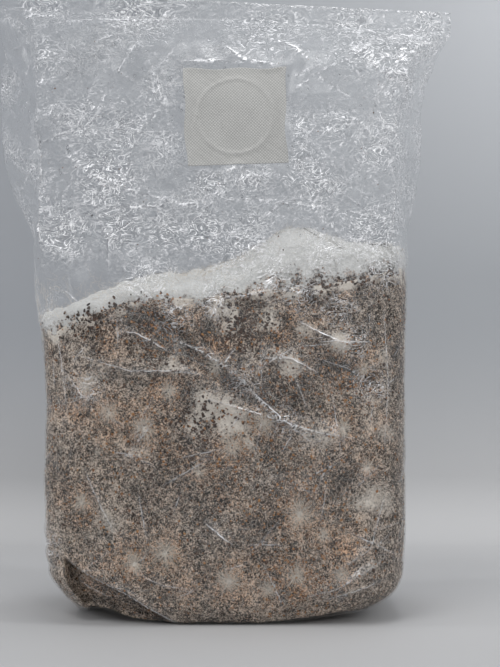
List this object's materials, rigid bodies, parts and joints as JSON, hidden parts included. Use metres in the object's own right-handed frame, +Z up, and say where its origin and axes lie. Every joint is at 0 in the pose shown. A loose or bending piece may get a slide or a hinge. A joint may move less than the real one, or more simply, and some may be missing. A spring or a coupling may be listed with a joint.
{
  "type": "oyster mushroom grow bag",
  "caption": "Sealed clear gusseted bag holding a colonised sawdust block with a white mycelium mat, airspace above and a square filter patch on its front panel.",
  "frame": {"origin": "under the middle of the bag, on the surface that it stands on", "axes": "+Z up the bag, the panel with the filter patch faces -Y, +X to the right as seen from the front"},
  "size_m": [0.2678, 0.136, 0.3687],
  "materials": {
    "clear_film": "gloss",
    "filter_cloth": "matte",
    "substrate": "matte",
    "mycelium": "matte"
  },
  "bodies": {
    "root": {"grow_bag": "clear_film", "filter_patch": "filter_cloth", "substrate_block": "substrate", "mycelium_mat": "mycelium"}
  },
  "joints": []
}
